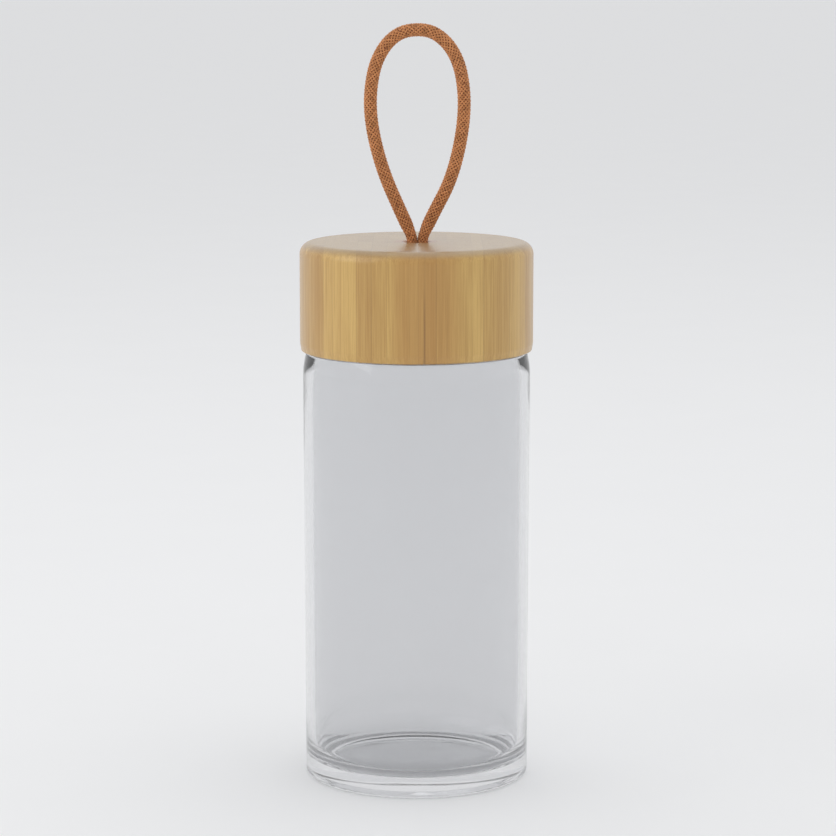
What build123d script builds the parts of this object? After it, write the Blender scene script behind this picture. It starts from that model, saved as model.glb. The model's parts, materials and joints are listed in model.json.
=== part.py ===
from build123d import *
import math
import os

# A clear glass bottle with a screw-on bamboo lid and a cord loop to carry it by.
# Millimetres, +Z up. The origin is the middle of the base, on the surface it stands on.
# The loop lies in the XZ plane. The lid unscrews anticlockwise, seen from above.

# ---- glass bottle
glass_r = 31.7  # outside, at the shoulder
glass_draft = 0.3  # the body is this much narrower at its foot
shoulder_z = 124.6  # the flat of the shoulder, hidden in the lid
glass_wall = 2.5
floor_z = 4.4  # top of the solid base
foot_width = 4.9  # ring that the bottle stands on
punt_depth = 1.0  # hollow under the base
punt_slope = 2.0
base_edge = 1.4
floor_edge = 6.5  # the wall runs into the floor in a wide curve
shoulder_drop = 8.8  # the body draws in over this height below the shoulder
shoulder_inset = 1.65
shoulder_soft = 16.0
shoulder_edge = 2.4
shoulder_wall = 2.8  # thickness under the shoulder's flat, next to the neck
shoulder_fall = 1.6  # the inside falls this much more on its way to the body's wall
inner_shoulder_edge = 2.0
inner_body_edge = 3.4

# ---- neck and screw thread
shoulder_width = 6.3  # the neck stands in from the body by this much
neck_wall = 2.6
neck_height = 10.3
neck_foot = 1.2
rim_edge = 0.9
pitch = 5.08
bead_r = 1.35  # both threads are round beads, part sunk in their walls
bead_sunk = 0.35
thread_gap = 0.4  # radial room from each crest to the wall it faces
neck_thread_start = 2.2  # first turn's middle, above the shoulder
neck_thread_end_gap = 1.0  # the last turn's upper side to the rim
liner_thread_start_gap = 0.2  # the liner's lower edge to its first turn's lower side
liner_thread_end_gap = 0.6  # the last turn's upper side to the sealing ring

# ---- sealing ring
seal_thickness = 1.6
seal_overhang = 0.4  # it reaches this far inside the bottle's mouth
seal_side_gap = 0.3  # the ring's edge to the liner's wall
seal_edge = 0.3

# ---- screw liner
liner_wall = 1.8
liner_disc = 1.5
liner_lift = 0.8  # its lower edge, above the shoulder
boss_depth = 1.2  # the boss that centres the sealing ring
boss_gap = 0.4
liner_edge = 0.6

# ---- bamboo cap
cap_overhang = 0.8  # it stands out from the glass by this much
cap_top_thickness = 3.8
cap_top_edge = 3.4
skirt_height = 3.8  # its lower edge, below the shoulder
skirt_gap = 0.5  # all round the shoulder and above it
skirt_edge = 0.6
lip_width = 0.9  # its lower edge, drawn in over the lip's height
lip_height = 2.2
lip_soft = 3.0
lip_edge = 0.4
lip_mouth_edge = 0.25
knot_pocket_r = 13.0
knot_pocket_height = 9.2
pocket_edge = 2.0
cord_hole_edge = 1.2
cord_hole_gap = 0.2

# ---- washer over the knot
washer_r = 9.0
washer_thickness = 0.8
washer_hole_gap = 0.6

# ---- cord
cord_d = 3.7
leg_squeeze = 0.81  # half the width of the two legs in the hole, over the cord's diameter
knot_spread = 2.1  # the knot's radius over the cord's diameter
knot_edge = 3.2
knot_lift = 0.5  # clear of the liner's disc
tail_gap = 0.8  # the tails' ends to the pocket's wall
tail_turn = 35.0
pivot_gap = 0.35  # the loop's rounded ends to the cap's top
neck_gap = 0.05  # the loop's rounded ends to the legs in the hole
leg_gap = 0.1  # between the loop's two rounded ends
loop_route = [
    (-4.2, 0.1, 5.6),
    (-8.9, 0.3, 16.1),
    (-12.0, 0.5, 27.1),
    (-13.0, 0.5, 36.4),
    (-11.9, 0.3, 45.1),
    (-9.8, 0.1, 50.1),
    (-6.9, -0.1, 53.8),
    (-3.0, -0.3, 56.0),
    (2.9, -0.4, 56.2),
    (6.9, -0.4, 54.1),
    (10.1, -0.3, 50.4),
    (12.4, -0.1, 44.8),
    (13.4, 0.1, 35.8),
    (12.3, 0.2, 25.4),
    (9.4, 0.2, 14.4),
    (4.6, 0.1, 5.4),
]  # between the legs' ends, from the point about which the loop leans, chosen by hand

# ---- radii that follow
glass_foot_r = glass_r - glass_draft
neck_r = glass_r - shoulder_width
bore_r = neck_r - neck_wall
liner_inner_r = neck_r + bead_r - bead_sunk + thread_gap
liner_outer_r = liner_inner_r + liner_wall
cap_r = glass_r + cap_overhang
skirt_top_r = glass_r - shoulder_inset + skirt_gap
skirt_mouth_r = skirt_top_r + shoulder_inset * skirt_height / shoulder_drop
seal_inner_r = bore_r - seal_overhang
boss_r = seal_inner_r - boss_gap
legs_half_width = cord_d * leg_squeeze
legs_half_depth = cord_d**2 / (2 * legs_half_width)  # two round legs keep their section
cord_hole_r = legs_half_width + cord_hole_gap
knot_r = cord_d * knot_spread
loop_end_x = (cord_d + leg_gap) / 2

# ---- heights that follow
rim_z = shoulder_z + neck_height
disc_z = rim_z + seal_thickness
liner_bottom_z = shoulder_z + liner_lift
liner_top_z = disc_z + liner_disc
skirt_top_z = shoulder_z + skirt_gap
cap_bottom_z = shoulder_z - skirt_height
pocket_top_z = liner_top_z + knot_pocket_height
cap_top_z = pocket_top_z + cap_top_thickness
washer_z = pocket_top_z - washer_thickness
knot_z = liner_top_z + knot_lift
pivot_z = cap_top_z + pivot_gap + cord_d / 2

# ---- threads that follow: the liner's bead runs half a pitch below the neck's
neck_thread_z = shoulder_z + neck_thread_start
neck_thread_end_z = rim_z - neck_thread_end_gap - bead_r
liner_thread_z = liner_bottom_z + liner_thread_start_gap + bead_r
liner_thread_end_z = rim_z - liner_thread_end_gap - bead_r
liner_thread_lag = (liner_thread_z - neck_thread_z + pitch / 2) / pitch  # in turns


def turned(outline):
    """Turn a closed outline of (radius, height, corner radius) about the Z axis."""
    points = [(r, 0, z) for r, z, corner in outline]
    corners = [corner for r, z, corner in outline]
    wire = FilletPolyline(*points, radius=corners, close=True)
    return revolve(make_face(wire.edges()), axis=Axis.Z)


def thread(middle_r, start_z, end_z, start_turn):
    """A right-hand thread: a round bead along a helix, with rounded ends."""
    helix = Helix(pitch, end_z - start_z, middle_r, center=(0, 0, start_z))
    section = Plane(origin=helix @ 0, z_dir=helix % 0) * Circle(bead_r)
    bead = sweep(section, path=helix, is_frenet=True)
    for end in (0, 1):
        bead += Pos(*(helix @ end)) * Sphere(bead_r)
    return Rot(0, 0, 360 * start_turn) * bead


def make_glass_bottle():
    foot_inner_r = glass_foot_r - foot_width
    body = turned(
        [
            (0, punt_depth, 0),
            (foot_inner_r - punt_slope, punt_depth, punt_depth),
            (foot_inner_r, 0, punt_depth),
            (glass_foot_r, 0, base_edge),
            (glass_r, shoulder_z - shoulder_drop, shoulder_soft),
            (glass_r - shoulder_inset, shoulder_z, shoulder_edge),
            (neck_r, shoulder_z, neck_foot),
            (neck_r, rim_z, rim_edge),
            (bore_r, rim_z, rim_edge),
            (bore_r, shoulder_z - shoulder_wall, inner_shoulder_edge),
            (glass_r - glass_wall, shoulder_z - shoulder_wall - shoulder_fall, inner_body_edge),
            (glass_foot_r - glass_wall, floor_z, floor_edge),
            (0, floor_z, 0),
        ]
    )
    return body + thread(neck_r - bead_sunk, neck_thread_z, neck_thread_end_z, 0)


def make_seal_ring():
    outer_r = liner_inner_r - seal_side_gap
    return turned(
        [
            (seal_inner_r, rim_z, seal_edge),
            (outer_r, rim_z, seal_edge),
            (outer_r, disc_z, seal_edge),
            (seal_inner_r, disc_z, seal_edge),
        ]
    )


def make_screw_liner():
    cup = turned(
        [
            (0, disc_z - boss_depth, 0),
            (boss_r, disc_z - boss_depth, boss_gap),
            (boss_r, disc_z, 0),
            (liner_inner_r, disc_z, 0),
            (liner_inner_r, liner_bottom_z, liner_edge),
            (liner_outer_r, liner_bottom_z, liner_edge),
            (liner_outer_r, liner_top_z, 0),
            (0, liner_top_z, 0),
        ]
    )
    return cup + thread(liner_inner_r + bead_sunk, liner_thread_z, liner_thread_end_z, liner_thread_lag)


def make_bamboo_cap():
    return turned(
        [
            (cord_hole_r, cap_top_z, cord_hole_edge),
            (cap_r, cap_top_z, cap_top_edge),
            (cap_r, cap_bottom_z + lip_height, lip_soft),
            (skirt_mouth_r + lip_width, cap_bottom_z, lip_edge),
            (skirt_mouth_r, cap_bottom_z, lip_mouth_edge),
            (skirt_top_r, skirt_top_z, skirt_edge),
            (liner_outer_r, skirt_top_z, 0),
            (liner_outer_r, liner_top_z, 0),
            (knot_pocket_r, liner_top_z, 0),
            (knot_pocket_r, pocket_top_z, pocket_edge),
            (cord_hole_r, pocket_top_z, 0),
        ]
    )


def make_knot_washer():
    ring = Circle(washer_r) - Circle(legs_half_width + washer_hole_gap)
    return Pos(0, 0, washer_z) * extrude(ring, washer_thickness)


def make_cord_neck():
    height = cap_top_z + pivot_gap - neck_gap - washer_z
    return Pos(0, 0, washer_z) * extrude(Ellipse(legs_half_width, legs_half_depth), height)


def make_cord_knot():
    knot = turned(
        [
            (0, knot_z, 0),
            (knot_r, knot_z, knot_edge),
            (knot_r, washer_z, knot_edge),
            (0, washer_z, 0),
        ]
    )
    tail_plane = Plane(origin=(0, 0, (knot_z + washer_z) / 2), z_dir=(1, 0, 0))
    tail = extrude(tail_plane * Circle(cord_d / 2), knot_pocket_r - tail_gap)
    for side in (0, 180):
        knot += Rot(0, 0, tail_turn + side) * tail
    return knot


def loop_corner_radii(points):
    """Each bend is as wide as its two straight runs allow."""
    radii = []
    for before, corner, after in zip(points, points[1:], points[2:]):
        run_in = corner - before
        run_out = after - corner
        half_turn = math.radians(run_in.get_angle(run_out)) / 2
        radii.append(0.45 * min(run_in.length, run_out.length) / math.tan(half_turn))
    return radii


def make_cord_loop():
    route = [(-loop_end_x, 0, 0), *loop_route, (loop_end_x, 0, 0)]
    points = [Vector(x, y, pivot_z + z) for x, y, z in route]
    radii = loop_corner_radii(points)
    path = FilletPolyline(*points, radius=radii)
    section = Plane(origin=path @ 0, z_dir=path % 0) * Circle(cord_d / 2)
    tube = sweep(section, path=path.wires()[0])
    expected_volume = path.length * math.pi * (cord_d / 2) ** 2
    print("loop bend radii", [round(r, 1) for r in radii])
    print("loop length", round(path.length, 1), "volume over expected", tube.volume / expected_volume)
    for end in (points[0], points[-1]):
        tube += Pos(*end) * Sphere(cord_d / 2)
    return tube


os.makedirs("parts", exist_ok=True)
nodes = {
    "glass_bottle": make_glass_bottle(),
    "seal_ring": make_seal_ring(),
    "screw_liner": make_screw_liner(),
    "bamboo_cap": make_bamboo_cap(),
    "knot_washer": make_knot_washer(),
    "cord_neck": make_cord_neck(),
    "cord_knot": make_cord_knot(),
    "cord_loop": make_cord_loop(),
}
for name, shape in nodes.items():
    export_step(shape, f"parts/{name}.step")
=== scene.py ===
import json
import math

import bpy
from bpy.props import FloatProperty, FloatVectorProperty, IntProperty, PointerProperty
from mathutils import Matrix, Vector


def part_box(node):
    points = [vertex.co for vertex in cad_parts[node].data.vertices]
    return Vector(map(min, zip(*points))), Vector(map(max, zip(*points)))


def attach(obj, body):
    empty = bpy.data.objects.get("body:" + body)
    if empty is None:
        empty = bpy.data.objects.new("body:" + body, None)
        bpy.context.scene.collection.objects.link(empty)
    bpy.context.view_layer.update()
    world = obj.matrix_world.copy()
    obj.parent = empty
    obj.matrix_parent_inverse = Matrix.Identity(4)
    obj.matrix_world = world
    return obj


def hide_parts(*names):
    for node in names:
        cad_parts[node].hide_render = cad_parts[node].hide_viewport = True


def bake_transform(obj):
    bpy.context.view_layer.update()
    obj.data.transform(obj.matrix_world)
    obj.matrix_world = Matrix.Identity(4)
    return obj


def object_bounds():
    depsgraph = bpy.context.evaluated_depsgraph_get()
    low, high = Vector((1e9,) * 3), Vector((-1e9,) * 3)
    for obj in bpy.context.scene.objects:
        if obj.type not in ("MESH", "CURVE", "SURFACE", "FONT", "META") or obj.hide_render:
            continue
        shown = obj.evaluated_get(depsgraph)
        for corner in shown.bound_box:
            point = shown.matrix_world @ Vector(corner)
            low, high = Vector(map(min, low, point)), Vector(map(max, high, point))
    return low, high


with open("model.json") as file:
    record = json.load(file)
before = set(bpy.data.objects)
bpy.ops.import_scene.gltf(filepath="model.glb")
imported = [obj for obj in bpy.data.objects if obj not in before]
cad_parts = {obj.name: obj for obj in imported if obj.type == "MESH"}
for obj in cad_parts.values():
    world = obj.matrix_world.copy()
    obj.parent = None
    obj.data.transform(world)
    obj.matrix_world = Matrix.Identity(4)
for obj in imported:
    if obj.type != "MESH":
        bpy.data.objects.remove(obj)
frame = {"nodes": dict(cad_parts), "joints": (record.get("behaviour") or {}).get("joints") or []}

bl_info = {
    "name": "Glass bottle with bamboo lid",
    "version": (1, 0, 0),
    "blender": (4, 5, 0),
    "location": "View3D > Sidebar > Bottle",
    "description": "Builds a clear glass bottle with a screwed bamboo lid and a braided cord loop",
    "category": "Add Mesh",
}

MM = 0.001
CAD_BOX = [list(corner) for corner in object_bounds()]


# ---------------------------------------------------------------- the frame's places

JOINTS = {joint["name"]: joint for joint in frame["joints"]}
PIVOT = Vector(JOINTS["loop_lean"]["pos_m"])  # the cord loop leans about this point
GLASS_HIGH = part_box("glass_bottle")[1]
CAP_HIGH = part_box("bamboo_cap")[1]
KNOT_LOW, KNOT_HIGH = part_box("cord_knot")

# The cord's route over the lid, in millimetres from the pivot: up the left leg, round and down the right.
LOOP_ROUTE = [
    (-1.15, 0.0, -6.8),
    (-1.15, 0.0, -3.0),
    (-1.35, 0.0, -0.6),
    (-4.2, 0.1, 5.6),
    (-8.9, 0.3, 16.1),
    (-12.0, 0.5, 27.1),
    (-13.0, 0.5, 36.4),
    (-11.9, 0.3, 45.1),
    (-9.8, 0.1, 50.1),
    (-6.9, -0.1, 53.8),
    (-3.0, -0.3, 56.0),
    (2.9, -0.4, 56.2),
    (6.9, -0.4, 54.1),
    (10.1, -0.3, 50.4),
    (12.4, -0.1, 44.8),
    (13.4, 0.1, 35.8),
    (12.3, 0.2, 25.4),
    (9.4, 0.2, 14.4),
    (4.6, 0.1, 5.4),
    (1.8, 0.0, -0.6),
    (1.6, 0.0, -3.0),
    (1.6, 0.0, -6.8),
]

LOOP_STEP = 0.35 * MM  # between the braid's rings along the cord
LEG_SQUEEZE = 0.8  # the legs' width in the hole, as a share of the free cord's
SQUEEZE_START = 1.5 * MM  # above the lid's top, where the cord starts to widen
SQUEEZE_RUN = 4 * MM  # and the height over which it reaches its full width

# The knot, in millimetres: a ring that crosses itself three times, with two legs up and two tails.
KNOT_STEP = 0.45 * MM  # between the braid's rings along the cord
KNOT_POINTS = 30  # of the ring's route
KNOT_REACH = 2.0  # a third of the ring's largest radius
TAIL_TURN = math.radians(35)  # from the loop's own plane
TAIL_RADII = (2.5, 6.0, 9.0, 12.2)
LEG_TOP = LOOP_ROUTE[0][2]  # where the loop's own legs end
LEG_X = 1.4
LEG_BEND = -8.4  # the height where the legs start to draw together
LEG_END_X = 1.2


# ---------------------------------------------------------------- settings

class StageSettings(bpy.types.PropertyGroup):
    floor_color: FloatVectorProperty(
        name="Floor colour", description="Colour of the floor and of the room's light",
        default=(0.90, 0.903, 0.908), subtype="COLOR", min=0, max=1)
    room_light: FloatProperty(
        name="Room light", description="Brightness of the soft light all round", default=0.85, min=0)
    front_light: FloatProperty(
        name="Front light", description="Brightness of the room behind the camera, over the rest",
        default=0.85, min=0)
    camera_distance: FloatProperty(
        name="Camera distance", description="From the bottle's axis, along the floor",
        default=0.85, unit="LENGTH", min=0.2)
    camera_height: FloatProperty(
        name="Camera height", description="Above the floor", default=0.2334, unit="LENGTH", min=0)
    camera_tilt: FloatProperty(
        name="Camera tilt", description="How far the camera looks down",
        default=math.radians(8.83), subtype="ANGLE", unit="ROTATION")
    lens: FloatProperty(
        name="Lens", description="Focal length in millimetres", default=132.24, min=20)


class GlassSettings(bpy.types.PropertyGroup):
    segments: IntProperty(
        name="Segments", description="Flat faces round the bottle", default=192, min=48, max=384)
    ior: FloatProperty(
        name="Index of refraction", description="How much the glass bends light",
        default=1.5, min=1, max=2)
    # Painted shade: the grey of this tint stands for a darker room seen through the glass, rather than for
    # colour in the glass.
    tint: FloatVectorProperty(
        name="Tint", description="What a thick piece of the glass lets through",
        default=(0.825, 0.828, 0.838), subtype="COLOR", min=0, max=1)
    wall: FloatProperty(
        name="Wall", description="Thickness of the body's wall",
        default=2.5 * MM, unit="LENGTH", min=0.5 * MM)
    draft: FloatProperty(
        name="Draft", description="How much narrower the foot is than the body",
        default=0.3 * MM, unit="LENGTH")
    floor_height: FloatProperty(
        name="Floor height", description="Thickness of the solid base",
        default=4.4 * MM, unit="LENGTH")
    floor_curve: FloatProperty(
        name="Floor curve", description="Radius between the wall and the floor inside",
        default=6.5 * MM, unit="LENGTH")
    foot_width: FloatProperty(
        name="Foot width", description="Ring under the base that the bottle stands on",
        default=4.9 * MM, unit="LENGTH")
    foot_edge: FloatProperty(
        name="Foot edge", description="Rounding round the foot", default=1.4 * MM, unit="LENGTH")
    punt_slope: FloatProperty(
        name="Punt slope", description="Width of the slope up into the hollow under the base",
        default=2.0 * MM, unit="LENGTH")
    punt_edge: FloatProperty(
        name="Punt edge", description="Rounding on both sides of that slope",
        default=1.0 * MM, unit="LENGTH")
    punt_depth: FloatProperty(
        name="Punt depth", description="Hollow under the base", default=1.0 * MM, unit="LENGTH")
    shoulder_drop: FloatProperty(
        name="Shoulder drop", description="Where the body starts to draw in, below the shoulder's flat",
        default=8.8 * MM, unit="LENGTH")
    shoulder_inset: FloatProperty(
        name="Shoulder inset", description="How far the body draws in",
        default=1.65 * MM, unit="LENGTH")
    shoulder_soft: FloatProperty(
        name="Shoulder softness", description="Radius where the body starts to draw in",
        default=16 * MM, unit="LENGTH")
    shoulder_edge: FloatProperty(
        name="Shoulder edge", description="Rounding round the shoulder's flat",
        default=2.4 * MM, unit="LENGTH")
    shoulder_fall: FloatProperty(
        name="Shoulder fall", description="How much the ceiling inside falls towards the wall",
        default=1.0 * MM, unit="LENGTH")
    shoulder_wall: FloatProperty(
        name="Shoulder wall", description="Thickness of the shoulder",
        default=2.8 * MM, unit="LENGTH")
    ceiling_edge: FloatProperty(
        name="Ceiling edge", description="Rounding inside, between the shoulder and the neck",
        default=2.0 * MM, unit="LENGTH")
    ceiling_curve: FloatProperty(
        name="Ceiling curve", description="Rounding inside, between the wall and the shoulder",
        default=1.6 * MM, unit="LENGTH")
    neck_width: FloatProperty(
        name="Neck step", description="From the body's side in to the neck's side",
        default=6.3 * MM, unit="LENGTH")
    neck_wall: FloatProperty(
        name="Neck wall", description="Thickness of the neck's wall",
        default=2.6 * MM, unit="LENGTH")
    neck_height: FloatProperty(
        name="Neck height", description="From the shoulder's flat to the rim",
        default=10.3 * MM, unit="LENGTH")
    neck_foot: FloatProperty(
        name="Neck foot", description="Rounding between the shoulder and the neck",
        default=1.2 * MM, unit="LENGTH")
    rim_edge: FloatProperty(
        name="Rim edge", description="Rounding of the rim", default=0.9 * MM, unit="LENGTH")
    thread_pitch: FloatProperty(
        name="Thread pitch", description="Rise of the screw thread in one turn",
        default=5.08 * MM, unit="LENGTH")
    thread_bead: FloatProperty(
        name="Thread bead", description="Radius of the thread's round bead",
        default=1.35 * MM, unit="LENGTH")
    thread_sunk: FloatProperty(
        name="Thread sunk", description="How far the bead's middle lies inside the neck's side",
        default=0.35 * MM, unit="LENGTH")
    thread_start: FloatProperty(
        name="Thread start", description="The middle of the bead's lower end, above the shoulder's flat",
        default=2.2 * MM, unit="LENGTH")
    thread_end_gap: FloatProperty(
        name="Thread end gap", description="From the bead's upper side to the rim",
        default=1.0 * MM, unit="LENGTH")


class BambooSettings(bpy.types.PropertyGroup):
    light: FloatVectorProperty(
        name="Light strips", description="Colour of the palest strips",
        default=(0.68, 0.44, 0.13), subtype="COLOR", min=0, max=1)
    dark: FloatVectorProperty(
        name="Dark strips", description="Colour of the darkest strips",
        default=(0.42, 0.22, 0.048), subtype="COLOR", min=0, max=1)
    heart: FloatVectorProperty(
        name="Heart", description="Colour of the redder strips in the middle of the front",
        default=(0.44, 0.20, 0.04), subtype="COLOR", min=0, max=1)
    # Partly painted reflection: the top's end grain is the bamboo's own, and its greyer colour also stands
    # for the room's reflection in the lacquered top.
    end_grain_and_reflection: FloatVectorProperty(
        name="End grain", description="Colour of the fibres' cut ends on the lid's top",
        default=(0.30, 0.22, 0.13), subtype="COLOR", min=0, max=1)
    # Painted shadow and reflection: the cord's shadow and its reflection in the lacquered top, as a reddish
    # brown round the hole.
    cord_shadow_and_reflection: FloatVectorProperty(
        name="Stain", description="Where the cord's dye has rubbed off round the hole",
        default=(0.44, 0.16, 0.06), subtype="COLOR", min=0, max=1)
    strip_width: FloatProperty(
        name="Strip width", description="Thickness of one glued strip", default=4.4 * MM, unit="LENGTH")


class CordSettings(bpy.types.PropertyGroup):
    diameter: FloatProperty(
        name="Diameter", description="Of the whole braided cord", default=3.7 * MM, unit="LENGTH")
    yarns: IntProperty(
        name="Yarns each way", description="Yarns that wind each way round the core",
        default=10, min=4, max=16)
    lay: FloatProperty(
        name="Lay", description="Length of cord in which a yarn goes once round",
        default=11.5 * MM, unit="LENGTH")
    color: FloatVectorProperty(
        name="Colour", description="The cord's main colour",
        default=(0.48, 0.20, 0.072), subtype="COLOR", min=0, max=1)
    # dark_color is painted shade on the core, seen in the gaps between the yarns; the random dark specks use
    # it too.
    dark_color: FloatVectorProperty(
        name="Dark colour", description="In the gaps between the yarns",
        default=(0.20, 0.06, 0.021), subtype="COLOR", min=0, max=1)


# ---------------------------------------------------------------- material helpers

class Nodes:
    """A new material's node tree, with short ways to add and join nodes."""

    def __init__(self, name):
        self.material = bpy.data.materials.new(name)
        self.material.use_nodes = True
        self.tree = self.material.node_tree
        self.tree.nodes.clear()
        self.output = self.add("ShaderNodeOutputMaterial")

    def add(self, kind):
        return self.tree.nodes.new(kind)

    def link(self, source, target):
        self.tree.links.new(source, target)

    def value(self, source, socket):
        """Join a socket to an input, or set the input to a plain value."""
        if isinstance(source, bpy.types.NodeSocket):
            self.link(source, socket)
        else:
            socket.default_value = source

    def math(self, operation, a, b=0.0, c=0.0):
        node = self.add("ShaderNodeMath")
        node.operation = operation
        for source, socket in zip((a, b, c), node.inputs):
            self.value(source, socket)
        return node.outputs[0]

    def mix(self, factor, a, b):
        node = self.add("ShaderNodeMix")
        node.data_type = "RGBA"
        self.value(factor, node.inputs[0])
        self.value(color4(a), node.inputs[6])
        self.value(color4(b), node.inputs[7])
        return node.outputs[2]

    def mapped(self, coordinates, scale):
        """Coordinates with each axis scaled."""
        node = self.add("ShaderNodeMapping")
        self.link(coordinates, node.inputs["Vector"])
        node.inputs["Scale"].default_value = scale
        return node.outputs[0]

    def object_mm(self):
        """Object coordinates in millimetres."""
        node = self.add("ShaderNodeTexCoord")
        return self.mapped(node.outputs["Object"], (1000, 1000, 1000))

    def noise(self, coordinates, scale, detail, roughness, distortion=0.0):
        node = self.add("ShaderNodeTexNoise")
        self.link(coordinates, node.inputs["Vector"])
        node.inputs["Scale"].default_value = scale
        node.inputs["Detail"].default_value = detail
        node.inputs["Roughness"].default_value = roughness
        node.inputs["Distortion"].default_value = distortion
        return node.outputs[0]

    def ramp(self, source, low, high, out_low=0.0, out_high=1.0):
        """A smooth step from out_low to out_high as the source goes from low to high."""
        node = self.add("ShaderNodeMapRange")
        node.interpolation_type = "SMOOTHSTEP"
        for key, value in zip(range(5), (source, low, high, out_low, out_high)):
            self.value(value, node.inputs[key])
        return node.outputs[0]

    def bump(self, height, distance, strength):
        node = self.add("ShaderNodeBump")
        node.inputs["Strength"].default_value = strength
        node.inputs["Distance"].default_value = distance
        self.link(height, node.inputs["Height"])
        return node.outputs[0]

    def principled(self, **inputs):
        node = self.add("ShaderNodeBsdfPrincipled")
        for key, source in inputs.items():
            self.value(source, node.inputs[key.replace("_", " ")])
        return node


def color4(value):
    """A colour of three numbers as four; sockets and other values pass through."""
    if isinstance(value, bpy.types.NodeSocket) or not hasattr(value, "__len__") or len(value) == 4:
        return value
    return (*value, 1.0)


# ---------------------------------------------------------------- mesh helpers

def deselect_all():
    if bpy.context.object and bpy.context.object.mode != "OBJECT":
        bpy.ops.object.mode_set(mode="OBJECT")
    bpy.ops.object.select_all(action="DESELECT")


def rounded(outline, step):
    """The points of an outline of (radius, height, corner radius), with its corners rounded by arcs.

    step is the angle between an arc's points, in radians. A corner radius of 0 stays sharp.
    """
    points = []
    for index, (r, z, corner) in enumerate(outline):
        here = Vector((r, z))
        if corner == 0:
            points.append(here)
            continue
        before = (Vector(outline[index - 1][:2]) - here).normalized()
        after = (Vector(outline[(index + 1) % len(outline)][:2]) - here).normalized()
        opening = before.angle(after)
        turn = math.pi - opening
        reach = corner / math.tan(opening / 2)
        centre = here + (before + after).normalized() * corner / math.sin(opening / 2)
        start = here + before * reach - centre
        side = 1 if before.x * after.y - before.y * after.x < 0 else -1
        count = max(2, math.ceil(turn / step))
        for k in range(count + 1):
            angle = side * turn * k / count
            x = start.x * math.cos(angle) - start.y * math.sin(angle)
            y = start.x * math.sin(angle) + start.y * math.cos(angle)
            points.append(centre + Vector((x, y)))
    return points


def divided(points, longest):
    """Points with every run over a length split evenly."""
    out = [points[0]]
    for a, b in zip(points, points[1:]):
        count = max(1, math.ceil((b - a).length / longest))
        out += [a.lerp(b, k / count) for k in range(1, count + 1)]
    return out


def turned(name, points, segments):
    """A turned piece: its outline drawn point by point in the XZ plane, then spun round the axis.

    A closed outline ends where it starts. An open one starts and ends on the axis.
    """
    deselect_all()
    bpy.ops.mesh.primitive_plane_add(size=MM, location=(0, 0, 0))
    piece = bpy.context.object
    piece.name = piece.data.name = name
    bpy.ops.object.mode_set(mode="EDIT")
    bpy.ops.mesh.select_mode(type="VERT")
    bpy.ops.mesh.select_all(action="SELECT")
    bpy.ops.mesh.merge(type="CENTER")
    bpy.ops.transform.translate(value=(points[0].x, 0, points[0].y))
    for a, b in zip(points, points[1:]):
        bpy.ops.mesh.extrude_region_move(TRANSFORM_OT_translate={"value": (b.x - a.x, 0, b.y - a.y)})
    bpy.ops.mesh.select_all(action="SELECT")
    bpy.ops.mesh.spin(steps=segments, angle=2 * math.pi, center=(0, 0, 0), axis=(0, 0, 1))
    bpy.ops.mesh.select_all(action="SELECT")
    bpy.ops.mesh.remove_doubles(threshold=0.01 * MM)
    bpy.ops.mesh.normals_make_consistent(inside=False)
    bpy.ops.object.mode_set(mode="OBJECT")
    bpy.ops.object.transform_apply(location=True, rotation=True, scale=True)
    return piece


def smoothed(piece, angle):
    """Smooth shading, with edges sharper than the angle left crisp."""
    deselect_all()
    piece.select_set(True)
    bpy.context.view_layer.objects.active = piece
    bpy.ops.object.shade_smooth_by_angle(angle=angle)


def give(piece, material):
    piece.data.materials.clear()
    piece.data.materials.append(material)


# ---------------------------------------------------------------- the cord

def route_spline(name, route):
    """The cord's line: a smooth curve with the route's points as its control points."""
    curve = bpy.data.curves.new(name, "CURVE")
    curve.dimensions = "3D"
    curve.resolution_u = 24
    spline = curve.splines.new("NURBS")
    spline.points.add(len(route) - 1)
    for point, place in zip(spline.points, route):
        point.co = (*(PIVOT + Vector(place) * MM), 1)
    spline.order_u = 3
    spline.use_endpoint_u = True
    return curve


def points_along(curve, step):
    """Evenly spaced points read from a smooth curve."""
    holder = bpy.data.objects.new(curve.name, curve)
    bpy.context.scene.collection.objects.link(holder)
    bpy.context.view_layer.update()
    mesh = bpy.data.meshes.new_from_object(holder)
    line = [vertex.co.copy() for vertex in mesh.vertices]
    bpy.data.objects.remove(holder)
    bpy.data.meshes.remove(mesh)
    lengths = [0.0]
    for a, b in zip(line, line[1:]):
        lengths.append(lengths[-1] + (b - a).length)
    count = round(lengths[-1] / step)
    points, k = [], 0
    for i in range(count + 1):
        goal = lengths[-1] * i / count
        while k < len(line) - 2 and lengths[k + 1] < goal:
            k += 1
        share = (goal - lengths[k]) / max(lengths[k + 1] - lengths[k], 1e-12)
        points.append(line[k].lerp(line[k + 1], min(share, 1.0)))
    return points, lengths[-1]


def frames_along(points, across):
    """At each point, the line's direction and two directions across it that turn as little as they can."""
    frames = []
    for i, point in enumerate(points):
        tangent = (points[min(i + 1, len(points) - 1)] - points[max(i - 1, 0)]).normalized()
        across = (across - tangent * across.dot(tangent)).normalized()
        frames.append((point, tangent, across, tangent.cross(across)))
    return frames


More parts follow.
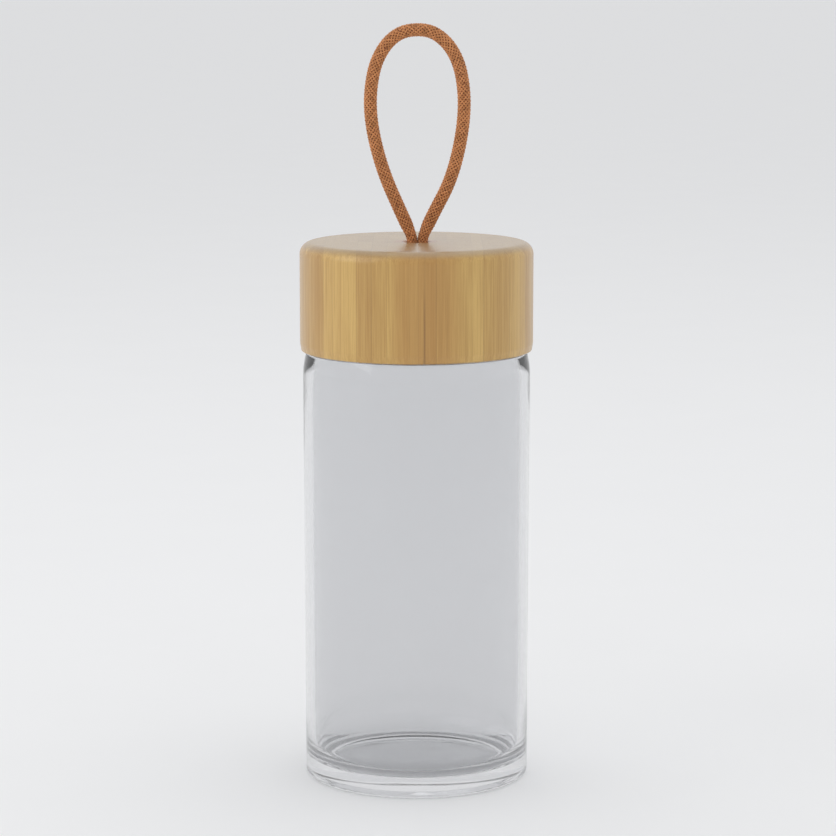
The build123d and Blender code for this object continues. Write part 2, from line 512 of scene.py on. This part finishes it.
def braid_mesh(name, frames, length, cord, squeeze):
    """A braided cord's yarns and core as one mesh.

    The yarns wind both ways and pass over and under each other at each crossing. squeeze(point) is
    how much narrower and deeper the cord is there, where it is pressed in a hole.
    """
    radius = 1.03 * cord.diameter / 2  # the yarns' crests stand a little proud
    yarn_depth = 0.115 * radius
    weave = 0.075 * radius
    middle = radius - yarn_depth - weave
    turn_angle = math.atan(2 * math.pi * middle / cord.lay)
    yarn_width = 0.62 * 2 * math.pi * middle / cord.yarns * math.cos(turn_angle)
    sides = 6
    verts, faces, uvs, tones = [], [], [], []
    step = length / (len(frames) - 1)

    def ring(centre, along, outward, half_width, half_depth):
        sideways = along.cross(outward).normalized()
        first = len(verts)
        for k in range(sides):
            angle = 2 * math.pi * (k + 0.5) / sides
            across_yarn = sideways * (half_width * math.cos(angle))
            verts.append(centre + across_yarn + outward * (half_depth * math.sin(angle)))
        return first

    for way in (1, -1):
        for yarn in range(cord.yarns):
            rings = []
            for i, (point, tangent, across, up) in enumerate(frames):
                s = i * step
                phase = 2 * math.pi * s / cord.lay
                angle = way * phase + 2 * math.pi * yarn / cord.yarns
                reach = middle + way * weave * math.cos(cord.yarns * phase)
                narrow = squeeze(point)
                outward = across * (math.cos(angle) * narrow) + up * (math.sin(angle) / narrow)
                centre = point + outward * reach
                around = (up * (math.cos(angle) / narrow) - across * (math.sin(angle) * narrow)).normalized()
                along = tangent * math.cos(turn_angle) + around * (way * math.sin(turn_angle))
                normal = (outward - along * outward.dot(along)).normalized()
                rings.append(ring(centre, along, normal, yarn_width / 2, yarn_depth))
            for i, (a, b) in enumerate(zip(rings, rings[1:])):
                for k in range(sides):
                    n = (k + 1) % sides
                    faces.append((a + k, a + n, b + n, b + k))
                    uvs.append([(i * step, k / sides), (i * step, (k + 1) / sides),
                                ((i + 1) * step, (k + 1) / sides), ((i + 1) * step, k / sides)])
                    tones.append(yarn + (cord.yarns if way == -1 else 0))
            faces.append(tuple(reversed([rings[0] + k for k in range(sides)])))
            uvs.append([(0, 0)] * sides)
            tones.append(yarn)
            faces.append(tuple(rings[-1] + k for k in range(sides)))
            uvs.append([(0, 0)] * sides)
            tones.append(yarn)

    # The core fills the gaps under the yarns; its faces get the tone -1, which the material paints dark as
    # shade.
    core_r = middle - 0.3 * yarn_depth
    core_sides = 16
    rings = []
    for point, tangent, across, up in frames[::2] + [frames[-1]] * (len(frames) % 2 == 0):
        narrow = squeeze(point)
        rings.append(len(verts))
        for k in range(core_sides):
            angle = 2 * math.pi * k / core_sides
            reach = across * (math.cos(angle) * narrow) + up * (math.sin(angle) / narrow)
            verts.append(point + reach * core_r)
    for a, b in zip(rings, rings[1:]):
        for k in range(core_sides):
            n = (k + 1) % core_sides
            faces.append((a + k, a + n, b + n, b + k))
            uvs.append([(0, 0)] * 4)
            tones.append(-1)
    for first, turn in ((rings[0], -1), (rings[-1], 1)):
        faces.append(tuple(first + k for k in range(core_sides))[::turn])
        uvs.append([(0, 0)] * core_sides)
        tones.append(-1)

    mesh = bpy.data.meshes.new(name)
    mesh.from_pydata(verts, [], faces)
    uv_layer = mesh.uv_layers.new(name="YarnUV")
    flat = [corner for face in uvs for uv in face for corner in uv]
    uv_layer.data.foreach_set("uv", flat)
    tone = mesh.attributes.new("yarn", "FLOAT", "FACE")
    tone.data.foreach_set("value", [float(t) for t in tones])
    mesh.polygons.foreach_set("use_smooth", [True] * len(mesh.polygons))
    mesh.update()
    return mesh


def cord_material(cord):
    """Caramel-brown braid: each yarn has its own tone, with fine fibres along it, and painted shade in the
    gaps, where the core between the yarns is coloured dark.
    """
    n = Nodes("braided_cord")
    uv = n.add("ShaderNodeUVMap")
    uv.uv_map = "YarnUV"
    yarn = n.add("ShaderNodeAttribute")
    yarn.attribute_name = "yarn"
    own_tone = n.add("ShaderNodeTexWhiteNoise")
    own_tone.noise_dimensions = "1D"
    n.link(yarn.outputs["Fac"], own_tone.inputs["W"])
    object_mm = n.object_mm()
    fibres = n.noise(n.mapped(uv.outputs[0], (1400, 14, 1)), 1.0, 3.0, 0.6)
    patches = n.noise(object_mm, 0.55, 3.0, 0.6)
    specks = n.noise(object_mm, 1.6, 2.0, 0.5)
    tone = n.math("MULTIPLY_ADD", own_tone.outputs["Value"], 0.25, n.math("MULTIPLY", patches, 0.6))
    tone = n.math("ADD", tone, n.math("MULTIPLY", fibres, 0.3))
    light = tuple(min(1.0, c * 1.55 + 0.02) for c in cord.color)
    color = n.mix(n.ramp(tone, 0.35, 0.85), cord.color, light)
    color = n.mix(n.ramp(specks, 0.56, 0.72), color, cord.dark_color)
    # Painted shade: the core, seen only in the gaps between the yarns, is coloured dark to stand for the
    # shade there.
    core = n.math("LESS_THAN", yarn.outputs["Fac"], -0.5)
    color = n.mix(core, color, cord.dark_color)
    bump = n.bump(fibres, 0.12 * MM, 0.7)
    shader = n.principled(
        Base_Color=color, Roughness=n.ramp(fibres, 0.2, 0.8, 0.62, 0.85), Sheen_Weight=0.25,
        Sheen_Roughness=0.4, Specular_IOR_Level=0.3, Normal=bump)
    n.link(shader.outputs[0], n.output.inputs[0])
    return n.material


class BOTTLE_OT_cord_loop(bpy.types.Operator):
    """Braid the cord along its route: out of the lid, round the loop and back into the lid"""

    bl_idname = "bottle.cord_loop"
    bl_label = "Cord loop"
    bl_options = {"REGISTER", "UNDO"}

    def execute(self, context):
        cord = context.scene.bottle_cord
        curve = route_spline("cord_line", LOOP_ROUTE)
        points, length = points_along(curve, LOOP_STEP)
        cap_top = CAP_HIGH.z

        def squeeze(point):
            """1 on the free loop, and narrower where both legs share the hole."""
            height = (point.z - cap_top - SQUEEZE_START) / SQUEEZE_RUN
            share = min(1.0, max(0.0, height))
            return LEG_SQUEEZE + (1 - LEG_SQUEEZE) * share * share * (3 - 2 * share)

        frames = frames_along(points, Vector((1, 0, 0)))
        piece = bpy.data.objects.new("cord", braid_mesh("cord", frames, length, cord, squeeze))
        context.scene.collection.objects.link(piece)
        give(piece, cord_material(cord))
        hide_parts("cord_loop", "cord_neck")
        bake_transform(piece)
        return {"FINISHED"}


def braided(name, route, cord):
    """A piece of braided cord along a route, round everywhere."""
    points, length = points_along(route_spline(name, route), KNOT_STEP)
    frames = frames_along(points, Vector((0.36, 0.48, 0.8)))
    mesh = braid_mesh(name, frames, length, cord, lambda point: 1.0)
    piece = bpy.data.objects.new(name, mesh)
    bpy.context.scene.collection.objects.link(piece)
    return piece


class BOTTLE_OT_cord_knot(bpy.types.Operator):
    """Shape the knot under the lid's top that holds the cord, with its two legs and two cut tails"""

    bl_idname = "bottle.cord_knot"
    bl_label = "Cord knot"
    bl_options = {"REGISTER", "UNDO"}

    def execute(self, context):
        cord = context.scene.bottle_cord
        height = (KNOT_HIGH.z - KNOT_LOW.z) / MM
        middle = ((KNOT_LOW.z + KNOT_HIGH.z) / 2 - PIVOT.z) / MM
        rise = height / 2 - cord.diameter / (2 * MM)
        ring = []
        for k in range(KNOT_POINTS + 1):
            t = 2 * math.pi * k / KNOT_POINTS
            x = KNOT_REACH * (math.sin(t) + 2 * math.sin(2 * t))
            y = KNOT_REACH * (math.cos(t) - 2 * math.cos(2 * t))
            ring.append((x, y, middle - rise * math.sin(3 * t)))
        runs = [ring]
        for side in (1, -1):
            tail_x = side * math.cos(TAIL_TURN)
            tail_y = side * math.sin(TAIL_TURN)
            runs.append([(tail_x * r, tail_y * r, middle) for r in TAIL_RADII])
            leg = [(LEG_X * side, 0, LEG_TOP), (LEG_X * side, 0, LEG_BEND), (LEG_END_X * side, 0, middle)]
            runs.append(leg)
        deselect_all()
        for k, run in enumerate(runs):
            piece = braided(f"knot_run_{k}", run, cord)
            piece.select_set(True)
            context.view_layer.objects.active = piece
        bpy.ops.object.join()
        piece = context.object
        piece.name = piece.data.name = "knot"
        give(piece, cord_material(cord))
        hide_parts("cord_knot")
        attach(piece, "lid")
        return {"FINISHED"}


# ---------------------------------------------------------------- the glass bottle

ARC_STEP = math.radians(6)  # between the points of a rounded corner
LONG_RUN = 12 * MM  # the longest straight run between the outline's points
THREAD_RUN = 0.22 * MM  # the same on the neck, where the thread is raised
NECK_CLEAR = 1 * MM  # no thread below this height over the shoulder's flat
ON_NECK = 0.05 * MM  # a point this close to the neck's radius is on its side


def neck_places(glass):
    """The neck's radius, and the heights of the shoulder's flat and the rim."""
    rim = GLASS_HIGH.z
    return GLASS_HIGH.x - glass.neck_width, rim - glass.neck_height, rim


def glass_outline(glass):
    """Half of the bottle's section, from the middle of its underside round to the middle of its floor."""
    body_r = GLASS_HIGH.x
    foot_r = body_r - glass.draft
    foot_inner = foot_r - glass.foot_width
    neck_r, shoulder, rim = neck_places(glass)
    bore_r = neck_r - glass.neck_wall
    ceiling = shoulder - glass.shoulder_wall
    return [
        (0, glass.punt_depth, 0),
        (foot_inner - glass.punt_slope, glass.punt_depth, glass.punt_edge),
        (foot_inner, 0, glass.punt_edge),
        (foot_r, 0, glass.foot_edge),
        (body_r, shoulder - glass.shoulder_drop, glass.shoulder_soft),
        (body_r - glass.shoulder_inset, shoulder, glass.shoulder_edge),
        (neck_r, shoulder, glass.neck_foot),
        (neck_r, rim, glass.rim_edge),
        (bore_r, rim, glass.rim_edge),
        (bore_r, ceiling, glass.ceiling_edge),
        (body_r - glass.wall, ceiling - glass.shoulder_fall, glass.ceiling_curve),
        (foot_r - glass.wall, glass.floor_height, glass.floor_curve),
        (0, glass.floor_height, 0),
    ]


def raise_thread(piece, glass):
    """Raise the screw thread on the neck: a round bead that climbs as it goes round, with round ends."""
    neck_r, shoulder, rim = neck_places(glass)
    bead_r = glass.thread_bead
    start_z = shoulder + glass.thread_start
    turns = (rim - glass.thread_end_gap - bead_r - start_z) / glass.thread_pitch
    for vertex in piece.data.vertices:
        x, y, z = vertex.co
        if z < shoulder + NECK_CLEAR or abs(math.hypot(x, y) - neck_r) > ON_NECK:
            continue
        around = (math.atan2(y, x) / (2 * math.pi)) % 1.0
        lift = 0.0
        for turn in (-1, 0, 1, 2):
            t = around + turn
            clamped = min(max(t, 0.0), turns)
            off_z = z - (start_z + glass.thread_pitch * clamped)
            off_round = (t - clamped) * 2 * math.pi * neck_r
            off = math.hypot(off_z, off_round)
            if off < bead_r:
                lift = max(lift, math.sqrt(bead_r**2 - off**2) - glass.thread_sunk)
        if lift > 0:
            scale = 1 + lift / math.hypot(x, y)
            vertex.co.x *= scale
            vertex.co.y *= scale


def glass_material(glass):
    """Clear glass: a grey tint that is painted shade, standing for a darker room seen through it; slight
    waves from the mould, and lamps that shine through it.
    """
    n = Nodes("clear_glass")
    object_mm = n.object_mm()
    waves = n.noise(n.mapped(object_mm, (0.035, 0.035, 0.012)), 1.0, 2.0, 0.4)
    smudges = n.noise(n.mapped(object_mm, (0.05, 0.05, 0.02)), 1.0, 4.0, 0.6)
    # Painted shade: the grey tint darkens everything seen through the glass.
    tint = n.mix(n.ramp(smudges, 0.3, 0.7), glass.tint, tuple(0.992 * c for c in glass.tint))
    bump = n.bump(waves, 1.0 * MM, 0.12)
    shader = n.principled(
        Base_Color=tint, Roughness=n.ramp(smudges, 0.5, 0.9, 0.0, 0.012), Transmission_Weight=1.0,
        IOR=glass.ior, Normal=bump)
    clear = n.add("ShaderNodeBsdfTransparent")
    clear.inputs[0].default_value = (0.965, 0.967, 0.97, 1)
    path = n.add("ShaderNodeLightPath")
    both = n.add("ShaderNodeMixShader")
    n.link(path.outputs["Is Shadow Ray"], both.inputs[0])
    n.link(shader.outputs[0], both.inputs[1])
    n.link(clear.outputs[0], both.inputs[2])
    n.link(both.outputs[0], n.output.inputs[0])
    return n.material


class BOTTLE_OT_glass_bottle(bpy.types.Operator):
    """Turn the glass bottle from its section, and raise the screw thread on its neck"""

    bl_idname = "bottle.glass_bottle"
    bl_label = "Glass bottle"
    bl_options = {"REGISTER", "UNDO"}

    def execute(self, context):
        glass = context.scene.bottle_glass
        points = divided(rounded(glass_outline(glass), ARC_STEP), LONG_RUN)
        neck_r = neck_places(glass)[0]
        fine = []
        for a, b in zip(points, points[1:]):
            on_neck = abs(a.x - neck_r) < 1e-6 and abs(b.x - neck_r) < 1e-6
            fine += divided([a, b], THREAD_RUN if on_neck else LONG_RUN)[:-1]
        piece = turned("glass_bottle_clear", fine + [points[-1]], glass.segments)
        raise_thread(piece, glass)
        smoothed(piece, math.radians(60))
        give(piece, glass_material(glass))
        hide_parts("glass_bottle")
        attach(piece, "bottle")
        return {"FINISHED"}


# ---------------------------------------------------------------- the lid

# The bamboo, in millimetres.
ROW_LENGTH = 22.0  # from front to back of one piece in a strip
HEART_PLACE = 4.5  # the redder strips in front lie round this far right of the middle, or up to 5 less
LINE_PLACE = 2.4  # the thin dark fibre line in front lies this far right, or up to 0.5 less


def bamboo_material(bamboo):
    """Laminated bamboo, its fibres upright: glued strips of differing tone, fine fibres, satin lacquer."""
    n = Nodes("laminated_bamboo")
    object_mm = n.object_mm()
    axes = n.add("ShaderNodeSeparateXYZ")
    n.link(object_mm, axes.inputs[0])
    x, y, z = axes.outputs[:3]
    top = CAP_HIGH.z / MM
    width = bamboo.strip_width / MM
    wander = n.add("ShaderNodeTexNoise")
    wander.noise_dimensions = "1D"
    n.link(x, wander.inputs["W"])
    wander.inputs["Scale"].default_value = 0.16
    wander.inputs["Detail"].default_value = 0.0
    shifted = n.math("MULTIPLY_ADD", wander.outputs[0], 7.0, x)
    across = n.math("DIVIDE", shifted, width)
    strip = n.math("FLOOR", across)
    edge = n.math("ABSOLUTE", n.math("SUBTRACT", n.math("FRACT", across), 0.5))
    glue = n.ramp(edge, 0.47, 0.497)
    row_shift = n.add("ShaderNodeTexWhiteNoise")
    row_shift.noise_dimensions = "1D"
    n.link(strip, row_shift.inputs["W"])
    shifted_y = n.math("MULTIPLY_ADD", row_shift.outputs["Value"], ROW_LENGTH, y)
    row_place = n.math("DIVIDE", shifted_y, ROW_LENGTH)
    row = n.math("FLOOR", row_place)
    row_edge = n.math("ABSOLUTE", n.math("SUBTRACT", n.math("FRACT", row_place), 0.5))
    row_glue = n.ramp(row_edge, 0.492, 0.499)
    both = n.add("ShaderNodeCombineXYZ")
    n.link(strip, both.inputs[0])
    n.link(row, both.inputs[1])
    own = n.add("ShaderNodeTexWhiteNoise")
    own.noise_dimensions = "3D"
    n.link(both.outputs[0], own.inputs["Vector"])
    strip_tone = own.outputs["Value"]
    broad = n.noise(n.mapped(object_mm, (0.25, 0.25, 0.02)), 1.0, 3.0, 0.5)
    fibres = n.noise(n.mapped(object_mm, (3.2, 3.2, 0.045)), 1.0, 4.0, 0.65, 0.4)
    fine = n.noise(n.mapped(object_mm, (8.0, 8.0, 0.12)), 1.0, 2.0, 0.6)
    tone = n.math("MULTIPLY_ADD", strip_tone, 0.2, n.math("MULTIPLY", broad, 0.35))
    tone = n.math("ADD", tone, n.math("MULTIPLY", fibres, 0.5))
    color = n.mix(n.ramp(tone, 0.25, 0.82), bamboo.light, bamboo.dark)
    in_front = n.math("LESS_THAN", y, 0.0)
    heart_x = n.math("MULTIPLY_ADD", strip_tone, 5.0, x)
    off_heart = n.math("ABSOLUTE", n.math("SUBTRACT", heart_x, HEART_PLACE))
    heart = n.math("MULTIPLY", n.ramp(off_heart, 11.0, 5.0), in_front)
    color = n.mix(n.math("MULTIPLY", heart, 0.45), color, bamboo.heart)
    bands = n.noise(n.mapped(object_mm, (1.1, 1.1, 0.02)), 1.0, 1.0, 0.5)
    color = n.mix(n.math("MULTIPLY", n.ramp(bands, 0.5, 0.66), 0.3), color, bamboo.dark)
    streak = n.ramp(fine, 0.52, 0.72)
    color = n.mix(n.math("MULTIPLY", streak, 0.4), color, bamboo.dark)
    seam = n.math("MAXIMUM", glue, row_glue)
    color = n.mix(n.math("MULTIPLY", seam, 0.3), color, tuple(0.6 * c for c in bamboo.dark))
    line_x = n.math("MULTIPLY_ADD", fine, 0.5, x)
    off_line = n.math("ABSOLUTE", n.math("SUBTRACT", line_x, LINE_PLACE))
    line = n.math("MULTIPLY", n.ramp(off_line, 0.45, 0.05), in_front)
    line = n.math("MULTIPLY", line, n.ramp(z, top - 6, top - 20, 0.15, 0.6))
    color = n.mix(line, color, tuple(0.5 * c for c in bamboo.heart))
    # The top's end grain with pores; its greyer colour is partly painted reflection of the room in the
    # lacquer.
    pores = n.noise(n.mapped(object_mm, (2.4, 2.4, 2.4)), 1.0, 2.0, 0.6)
    end_grain_and_reflection = n.math("MULTIPLY", n.ramp(z, top - 2.2, top - 0.3), 0.62)
    pore_color = tuple(0.72 * c for c in bamboo.end_grain_and_reflection)
    color = n.mix(end_grain_and_reflection, color, n.mix(n.ramp(pores, 0.5, 0.75), bamboo.end_grain_and_reflection, pore_color))
    # Painted shadow and reflection of the cord: a reddish brown round the hole, on the top only.
    from_axis = n.math("SQRT", n.math("ADD", n.math("MULTIPLY", x, x), n.math("MULTIPLY", y, y)))
    cord_shadow_and_reflection = n.math("MULTIPLY", n.ramp(from_axis, 7.5, 3.0), n.ramp(z, top - 2, top - 0.5))
    color = n.mix(n.math("MULTIPLY", cord_shadow_and_reflection, 0.7), color, bamboo.cord_shadow_and_reflection)
    height = n.math("SUBTRACT", n.math("MULTIPLY", fibres, 0.5), n.math("MULTIPLY", seam, 0.6))
    bump = n.bump(height, 0.05 * MM, 0.5)
    shader = n.principled(
        Base_Color=color, Roughness=n.ramp(fibres, 0.25, 0.75, 0.36, 0.5), Coat_Weight=0.7,
        Coat_Roughness=0.25, Normal=bump)
    n.link(shader.outputs[0], n.output.inputs[0])
    return n.material


def plastic_material():
    """Natural white moulded plastic with a faint mould texture."""
    n = Nodes("liner_plastic")
    object_mm = n.object_mm()
    grain = n.noise(object_mm, 6.0, 2.0, 0.5)
    cloud = n.noise(object_mm, 0.12, 2.0, 0.5)
    color = n.mix(n.ramp(cloud, 0.3, 0.7), (0.78, 0.77, 0.72), (0.84, 0.83, 0.79))
    shader = n.principled(
        Base_Color=color, Roughness=n.ramp(grain, 0.3, 0.7, 0.32, 0.42), Subsurface_Weight=0.15,
        Subsurface_Scale=0.002, Normal=n.bump(grain, 0.01 * MM, 0.4))
    n.link(shader.outputs[0], n.output.inputs[0])
    return n.material


def silicone_material():
    """Milky silicone, soft and a little cloudy."""
    n = Nodes("milky_silicone")
    object_mm = n.object_mm()
    cloud = n.noise(object_mm, 0.4, 3.0, 0.5)
    dust = n.noise(object_mm, 9.0, 1.0, 0.5)
    color = n.mix(n.ramp(cloud, 0.3, 0.7), (0.72, 0.73, 0.72), (0.80, 0.80, 0.79))
    shader = n.principled(
        Base_Color=color, Roughness=n.ramp(dust, 0.3, 0.7, 0.45, 0.6), Subsurface_Weight=0.3,
        Subsurface_Scale=0.002, Normal=n.bump(dust, 0.005 * MM, 0.4))
    n.link(shader.outputs[0], n.output.inputs[0])
    return n.material


def steel_material():
    """Plain stamped steel with fine scratches."""
    n = Nodes("stamped_steel")
    object_mm = n.object_mm()
    scratches = n.noise(n.mapped(object_mm, (0.6, 14.0, 1.0)), 1.0, 3.0, 0.6, 0.3)
    color = n.mix(n.ramp(scratches, 0.3, 0.7), (0.50, 0.50, 0.51), (0.62, 0.62, 0.62))
    shader = n.principled(
        Base_Color=color, Metallic=1.0, Roughness=n.ramp(scratches, 0.3, 0.7, 0.28, 0.42),
        Normal=n.bump(scratches, 0.004 * MM, 0.5))
    n.link(shader.outputs[0], n.output.inputs[0])
    return n.material


class BOTTLE_OT_lid(bpy.types.Operator):
    """Finish the lid's pieces: bamboo cap, screw liner, sealing ring and washer"""

    bl_idname = "bottle.lid"
    bl_label = "Lid"
    bl_options = {"REGISTER", "UNDO"}

    def execute(self, context):
        finishes = {
            "bamboo_cap": bamboo_material(context.scene.bottle_bamboo),
            "screw_liner": plastic_material(),
            "seal_ring": silicone_material(),
            "knot_washer": steel_material(),
        }
        for node, material in finishes.items():
            give(frame["nodes"][node], material)
        return {"FINISHED"}


# ---------------------------------------------------------------- the stage

CAMERA_SIDE = 0.4 * MM  # the camera stands this far right of the bottle's axis
FLOOR_RADIUS = 12
GLASS_BOUNCES = 32  # surfaces that light may meet on its way before it is dropped


def area_light(name, place, target, size, power):
    light = bpy.data.lights.new(name, "AREA")
    light.shape = "RECTANGLE"
    light.size = size
    light.size_y = size
    light.energy = power
    holder = bpy.data.objects.new(name, light)
    holder.location = place
    holder.rotation_euler = (Vector(target) - Vector(place)).to_track_quat("-Z", "Y").to_euler()
    bpy.context.scene.collection.objects.link(holder)


def soft_room(settings):
    """Even light from all round, dimmer from the front, so that clear edges show against it."""
    world = bpy.data.worlds.new("soft_room")
    world.use_nodes = True
    tree = world.node_tree
    direction = tree.nodes.new("ShaderNodeTexCoord").outputs["Generated"]
    axes = tree.nodes.new("ShaderNodeSeparateXYZ")
    tree.links.new(direction, axes.inputs[0])
    fade = tree.nodes.new("ShaderNodeMapRange")
    fade.interpolation_type = "SMOOTHSTEP"
    tree.links.new(axes.outputs[1], fade.inputs["Value"])
    fade.inputs["From Min"].default_value = -0.9
    fade.inputs["From Max"].default_value = 0.1
    fade.inputs["To Min"].default_value = settings.front_light * settings.room_light
    fade.inputs["To Max"].default_value = settings.room_light
    background = tree.nodes["Background"]
    background.inputs["Color"].default_value = (0.985, 0.99, 1, 1)
    tree.links.new(fade.outputs[0], background.inputs["Strength"])
    return world


class BOTTLE_OT_stage(bpy.types.Operator):
    """Set the camera, the pale floor and the soft lights"""

    bl_idname = "bottle.stage"
    bl_label = "Stage"
    bl_options = {"REGISTER", "UNDO"}

    def execute(self, context):
        scene = context.scene
        settings = scene.bottle_stage
        camera = bpy.data.cameras.new("camera")
        camera.lens = settings.lens
        camera.sensor_width = 36
        holder = bpy.data.objects.new("camera", camera)
        holder.location = (CAMERA_SIDE, -settings.camera_distance, settings.camera_height)
        holder.rotation_euler = (math.pi / 2 - settings.camera_tilt, 0, 0)
        scene.collection.objects.link(holder)
        scene.camera = holder

        deselect_all()
        bpy.ops.mesh.primitive_circle_add(
            vertices=128, radius=FLOOR_RADIUS, fill_type="NGON", location=(0, 0, 0))
        floor = context.object
        floor.name = "floor"
        n = Nodes("pale_floor")
        grain = n.noise(n.object_mm(), 0.02, 2.0, 0.5)
        color = n.mix(grain, settings.floor_color, tuple(0.985 * c for c in settings.floor_color))
        shader = n.principled(Base_Color=color, Roughness=0.9, Specular_IOR_Level=0.1)
        n.link(shader.outputs[0], n.output.inputs[0])
        give(floor, n.material)

        scene.world = soft_room(settings)
        middle = (0, 0, CAD_BOX[1][2] / 2)
        area_light("key", (-1.1, -0.5, 0.8), middle, size=1.0, power=3.5)
        area_light("top", (0.2, 0.3, 1.3), middle, size=1.2, power=1.6)
        scene.view_settings.view_transform = "Standard"
        scene.cycles.max_bounces = GLASS_BOUNCES
        scene.cycles.glossy_bounces = GLASS_BOUNCES
        scene.cycles.transmission_bounces = GLASS_BOUNCES
        return {"FINISHED"}


# ---------------------------------------------------------------- the add-on

class BOTTLE_PT_panel(bpy.types.Panel):
    """Lists the bottle's settings and its pieces"""

    bl_idname = "BOTTLE_PT_panel"
    bl_label = "Bottle"
    bl_space_type = "VIEW_3D"
    bl_region_type = "UI"
    bl_category = "Bottle"

    def draw(self, context):
        for group in SETTINGS:
            column = self.layout.column()
            settings = getattr(context.scene, group)
            for name in settings.bl_rna.properties.keys():
                if name not in ("rna_type", "name"):
                    column.prop(settings, name)
        for operator in OPERATORS:
            self.layout.operator(operator.bl_idname)


SETTINGS = {
    "bottle_stage": StageSettings,
    "bottle_cord": CordSettings,
    "bottle_glass": GlassSettings,
    "bottle_bamboo": BambooSettings,
}
OPERATORS = (BOTTLE_OT_stage, BOTTLE_OT_cord_loop, BOTTLE_OT_cord_knot, BOTTLE_OT_glass_bottle, BOTTLE_OT_lid)


def register():
    for name, group in SETTINGS.items():
        bpy.utils.register_class(group)
        setattr(bpy.types.Scene, name, PointerProperty(type=group))
    for operator in OPERATORS:
        bpy.utils.register_class(operator)
    bpy.utils.register_class(BOTTLE_PT_panel)


def unregister():
    bpy.utils.unregister_class(BOTTLE_PT_panel)
    for operator in reversed(OPERATORS):
        bpy.utils.unregister_class(operator)
    for name, group in SETTINGS.items():
        delattr(bpy.types.Scene, name)
        bpy.utils.unregister_class(group)


def main():
    register()
    bpy.ops.bottle.stage()
    bpy.ops.bottle.cord_loop()
    bpy.ops.bottle.cord_knot()
    bpy.ops.bottle.glass_bottle()
    bpy.ops.bottle.lid()


if __name__ == "__main__":
    main()
